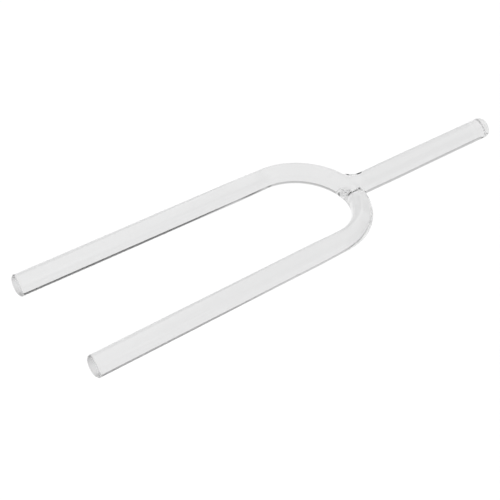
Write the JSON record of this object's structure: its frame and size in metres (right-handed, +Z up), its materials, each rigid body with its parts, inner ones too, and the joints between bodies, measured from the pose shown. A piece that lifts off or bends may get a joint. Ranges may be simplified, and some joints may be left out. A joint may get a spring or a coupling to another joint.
{
  "type": "tuning fork",
  "caption": "Clear fused-quartz tuning fork: a U of solid round rod with long, nearly parallel tines and a straight stem welded to its crown, lying flat.",
  "frame": {"origin": "centre of the flat foot at the stem's free end, on the stem's axis", "axes": "+X along the stem, out of its foot; the tines reach towards -X; +Y to the right tine; +Z up, square to the plane of the fork, which lies flat"},
  "size_m": [0.3825, 0.1126, 0.016],
  "materials": {
    "clear_quartz": "colourless fire-polished fused quartz, smooth, with faint draw lines along the rod"
  },
  "bodies": {
    "base": {"stem": "clear_quartz", "crown_weld": "clear_quartz", "left_bend": "clear_quartz", "right_bend": "clear_quartz"},
    "left_tine": {"left_tine": "clear_quartz"},
    "right_tine": {"right_tine": "clear_quartz"}
  },
  "joints": [
    {"name": "left_tine_swing", "type": "hinge", "parent": "base", "child": "left_tine", "pos_m": [-0.17664, -0.0433, 0], "axis": [0, 0, 1], "range_deg": [-0.15, 0.15], "stiffness_Nm_per_rad": 200},
    {"name": "right_tine_swing", "type": "hinge", "parent": "base", "child": "right_tine", "pos_m": [-0.17664, 0.0473, 0], "axis": [0, 0, 1], "range_deg": [-0.15, 0.15], "stiffness_Nm_per_rad": 200}
  ],
  "couplings": [
    {"joint": "right_tine_swing", "follows": "left_tine_swing", "ratio": -1}
  ]
}
